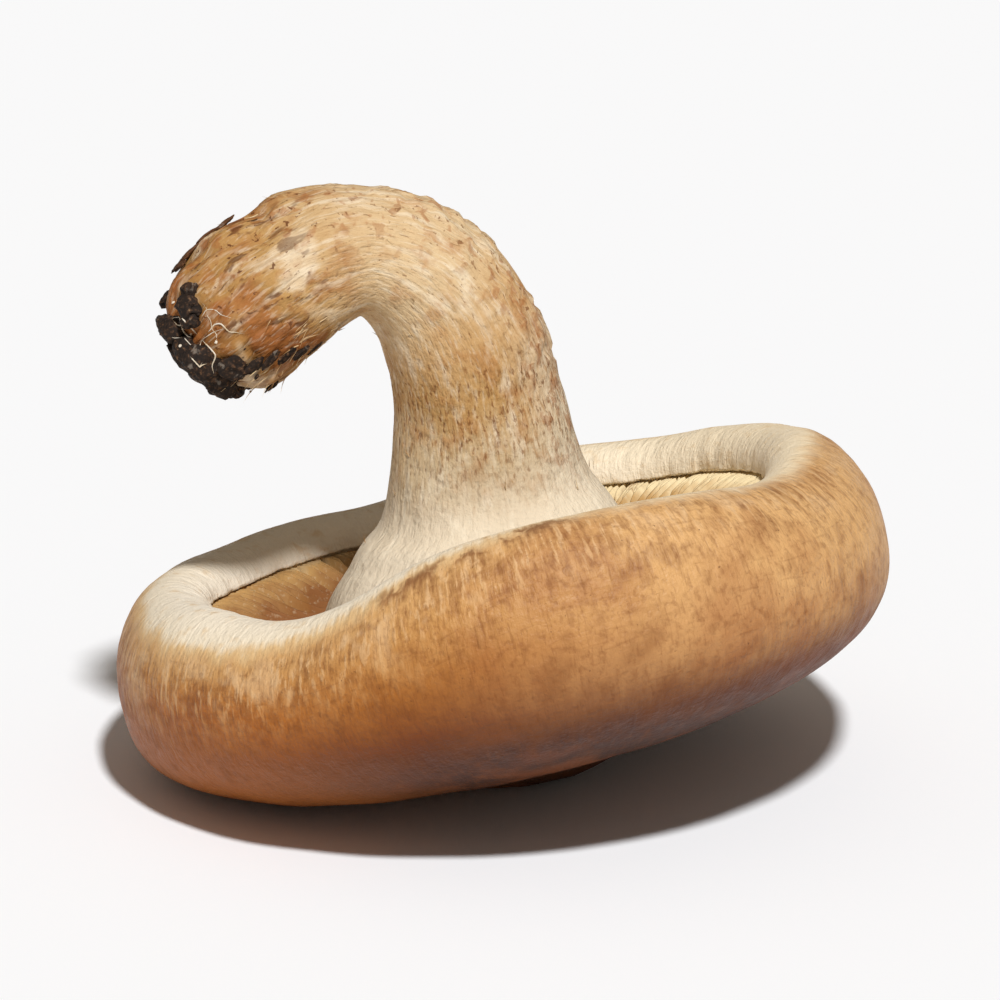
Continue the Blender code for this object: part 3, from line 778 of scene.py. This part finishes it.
# Bark and soil: rotten oak bark and log dust, near black, rough and dull, with paler grains of wood in it
barkFinish = {
    "byDarkness": [(0.3, "#17100c"), (0.54, "#2a1d14"), (0.68, "#5a3f2a"), (0.78, "#8f7353")],
    "sizes": {"slow": 1.4, "grain": 0.4}, "mycelium": "#a5988a", "flakeBrown": "#6b4426",
    "layers": [
        ("height", 0.0545, 0.0575, 0.8, "everywhere", "flakeBrown"),  # metres: the flakes on top are brown
        ("slow", 0.62, 0.7, 0.4, "everywhere", "mycelium"),
    ],
    "bump": 0.1, "relief": [("grain", 1.0), ("slow", 1.0)],
}


def barkMaterial():
    f = barkFinish
    material, tree, shader = newMaterial("rottenOakBark", 1.45, 0.35)
    shader.inputs["Roughness"].default_value = 0.82
    sources = addPatterns(tree, None, f["sizes"])
    tone = addNode(tree, "ShaderNodeValToRGB", {}, {"Fac": sources["grain"]}, f["byDarkness"]).outputs[0]
    solid = addNode(tree, "ShaderNodeTexCoord").outputs["Object"]
    sources["height"] = addNode(tree, "ShaderNodeSeparateXYZ", {}, {0: solid}).outputs["Z"]
    tone = paintLayers(tree, tone, f, sources, {"everywhere": 1.0})
    tree.links.new(tone, shader.inputs["Base Color"])
    addBump(tree, shader, f, sources)
    return material


barkPiece = makeBark(barkMaterial())


# Loose ends: white mycelium over the bark, and fibres that lift off the stem's skin
looseShape = {
    "threads": 10, "threadRadius": (0.04, 0.09), "threadSteps": 20, "threadStep": 0.22, "threadTurn": 1.7,
    "threadDegrees": (35, 95), "threadBack": (0.8, 3.6), "smoothings": 2, "footRadius": 6.0,
    "tufts": 4, "tuftRadius": (0.12, 0.22), "tuftDegrees": (52, 22), "tuftBack": (2.0, 1.0),  # mean, spread
    "reach": 4.0,  # how far out a ray starts that looks for the surface
    "fibres": 70, "fibreRadius": (0.05, 0.1), "fibreLength": (0.8, 2.4), "fibreSteps": 7,
    "fibreRows": (0.2, 0.93), "fibreSlant": 0.4, "fibreLift": 0.14,
    "ragged": 46, "raggedLength": (1.4, 3.4), "raggedDegrees": (105, 165), "raggedBack": (1.5, 13.0),
    "raggedSlant": 0.5, "raggedLift": (0.1, 0.35), "raggedThicker": 1.3, "strandThicker": 1.4,
    "strands": [(-2, 16.5, 3.4), (8, 14.0, 1.8), (-25, 12.0, 1.6)],  # on top: degrees, mm back, length
}


def makeThreads(material):
    # threads wander over the bark, on the surface that a ray from outside meets; tufts sit between lumps
    s = looseShape
    surface = bmesh.new()
    surface.from_mesh(barkPiece.data)
    surface.from_mesh(stemPiece.data)
    tree = BVHTree.FromBMesh(surface)
    surface.free()
    work = bmesh.new()
    for k in range(s["threads"]):
        degrees, back = draw.uniform(*s["threadDegrees"]), draw.uniform(*s["threadBack"])
        start = draw.uniform(0, math.tau)
        radius = draw.uniform(*s["threadRadius"])
        line = []
        for step in range(s["threadSteps"]):
            heading = start + s["threadTurn"] * noise.noise(Vector((step / 7, k * 4.3, 0)))
            degrees += math.degrees(math.cos(heading) * s["threadStep"] / s["footRadius"])
            back = max(0.4, back + math.sin(heading) * s["threadStep"])
            place, ahead, across, out = footPlace(degrees, back)
            hit = tree.ray_cast(inScene(place + out * s["reach"]), -out)[0]
            if hit:
                taper = min(1.0, (s["threadSteps"] - 1 - step) / 8, step / 3)
                line.append((hit + out * radius * 0.5 * mm, radius * taper * mm))
        for smoothing in range(s["smoothings"]):
            inner = zip(line, line[1:], line[2:])
            inner = [((one[0] + two[0] * 2 + three[0]) / 4, two[1]) for one, two, three in inner]
            line = line[:1] + inner + line[-1:]
        addThread(work, line, 5)
    for k in range(s["tufts"]):
        degrees, back = draw.gauss(*s["tuftDegrees"]), max(0.4, draw.gauss(*s["tuftBack"]))
        place, ahead, across, out = footPlace(degrees, back)
        hit = tree.ray_cast(inScene(place + out * s["reach"]), -out)[0]
        radius = draw.uniform(*s["tuftRadius"])
        if hit:
            place = (hit - crest) / mm
            addCrumb(work, place, (ahead, across, out), (radius * 1.5, radius, radius * 0.5), 2, k * 2.9)
    bmesh.ops.recalc_face_normals(work, faces=work.faces)
    return newPiece("myceliumThreads", work, material)


def addFibre(work, point, out, way, length, lift, radius, seed):
    steps = looseShape["fibreSteps"]
    across = way.cross(out)
    line = []
    for step in range(steps):
        share = step / (steps - 1)
        bend = 0.12 * length * noise.noise(Vector((share * 2, seed * 2.1, 0)))
        place = point + way * length * share + out * (lift * length * share**2 + 0.02) + across * bend
        taper = 1 - share if step else 0.0  # closed at both ends
        line.append((inScene(place), radius * taper * mm))
    addThread(work, line, 4)


def makeFibres(material):
    s = looseShape
    work = bmesh.new()
    for k in range(s["fibres"]):
        turn, row = draw.uniform(0, math.tau), int(draw.uniform(*s["fibreRows"]) * len(stemFrames))
        point, out, ahead = stemPoint(turn, row)
        way = ahead * draw.choice((-1, 1)) + ahead.cross(out) * draw.gauss(0, s["fibreSlant"])
        length, radius = draw.uniform(*s["fibreLength"]), draw.uniform(*s["fibreRadius"])
        lift = abs(draw.gauss(0.0, s["fibreLift"]))
        addFibre(work, point, out, way.normalized(), length, lift, radius, k)
    for k in range(s["ragged"]):
        degrees, back = draw.uniform(*s["raggedDegrees"]), draw.uniform(*s["raggedBack"])
        point, ahead, across, out = footPlace(degrees, back)
        way = ahead * draw.choice((-1, 1, 1)) + across * draw.gauss(0, s["raggedSlant"])
        length = draw.uniform(*s["raggedLength"])
        radius = draw.uniform(*s["fibreRadius"]) * s["raggedThicker"]
        lift = draw.uniform(*s["raggedLift"])
        addFibre(work, point - out * 0.2, out, way.normalized(), length, lift, radius, k + 0.5)
    for degrees, back, length in s["strands"]:
        point, ahead, across, out = footPlace(degrees, back)
        addFibre(work, point, out, ahead, length, 0.3, s["fibreRadius"][1] * s["strandThicker"], back)
    bmesh.ops.recalc_face_normals(work, faces=work.faces)
    return newPiece("liftedFibres", work, material)


# Dry fibre ends: the same flesh, dried paler or browner; mycelium is off-white and felted
looseFinish = {
    "sizes": {"slow": 4.0, "fine": 1.2},
    "fibreTones": [(0.4, "#e2c79b"), (0.62, "#9a6c3a")], "feltTones": [(0.4, "#e6dccb"), (0.7, "#cdb590")],
}


def looseMaterial(name, ior, pattern, tones, sheen):
    material, tree, shader = newMaterial(name, ior, 0.2, sheen)
    shader.inputs["Roughness"].default_value = 0.85
    sources = addPatterns(tree, None, looseFinish["sizes"])
    tone = addNode(tree, "ShaderNodeValToRGB", {}, {"Fac": sources[pattern]}, looseFinish[tones])
    tree.links.new(tone.outputs[0], shader.inputs["Base Color"])
    return material


makeThreads(looseMaterial("myceliumFelt", 1.35, "fine", "feltTones", 0.3))
makeFibres(looseMaterial("driedStemFibre", 1.4, "slow", "fibreTones", 0.0))


# Camera, floor and studio light, as the photograph is framed
studio = {
    "elevation": 17, "distance": 1.0, "frameWidth": 0.104, "aimRight": 1.66, "aimUp": 0.62,
    "key": (0.18, -0.74, 1.0), "keyPower": 3.25, "keySoftness": 5.0, "sky": "#fff2e2", "skyPower": 0.2,
    "floor": "#f8fafd", "floorSize": 20,
}


def makeStudio():
    s = studio
    tilt = math.radians(s["elevation"])
    ahead = Vector((0, math.cos(tilt), -math.sin(tilt)))
    up = Vector((0, math.sin(tilt), math.cos(tilt)))
    aim = crest + Vector((s["aimRight"], 0, 0)) * mm + up * s["aimUp"] * mm
    camera = bpy.data.objects.new("camera", bpy.data.cameras.new("camera"))
    camera.location = aim - ahead * s["distance"]
    camera.rotation_euler = ahead.to_track_quat("-Z", "Y").to_euler()
    camera.data.sensor_width = 36
    camera.data.lens = 36 * s["distance"] / s["frameWidth"]
    key = bpy.data.objects.new("key", bpy.data.lights.new("key", "SUN"))
    key.data.energy = s["keyPower"]
    key.data.angle = math.radians(s["keySoftness"])
    key.rotation_euler = (-Vector(s["key"])).to_track_quat("-Z", "Y").to_euler()
    for thing in (camera, key):
        bpy.context.scene.collection.objects.link(thing)
    bpy.context.scene.camera = camera
    world = bpy.data.worlds.new("studio")
    world.use_nodes = True
    world.node_tree.nodes["Background"].inputs["Color"].default_value = hexColour(s["sky"])
    world.node_tree.nodes["Background"].inputs["Strength"].default_value = s["skyPower"]
    bpy.context.scene.world = world
    work = bmesh.new()
    bmesh.ops.create_grid(work, x_segments=1, y_segments=1, size=s["floorSize"] / 2)
    mesh = bpy.data.meshes.new("floor")
    work.to_mesh(mesh)
    work.free()
    floor = bpy.data.objects.new("floor", mesh)
    bpy.context.scene.collection.objects.link(floor)
    material = bpy.data.materials.new("paintedFloor")
    material.use_nodes = True
    shader = material.node_tree.nodes["Principled BSDF"]
    shader.inputs["Base Color"].default_value = hexColour(s["floor"])
    shader.inputs["Roughness"].default_value = 0.9
    shader.inputs["Specular IOR Level"].default_value = 0.1
    mesh.materials.append(material)
    bpy.context.scene.view_settings.view_transform = "Standard"
    print("studio ready")


makeStudio()
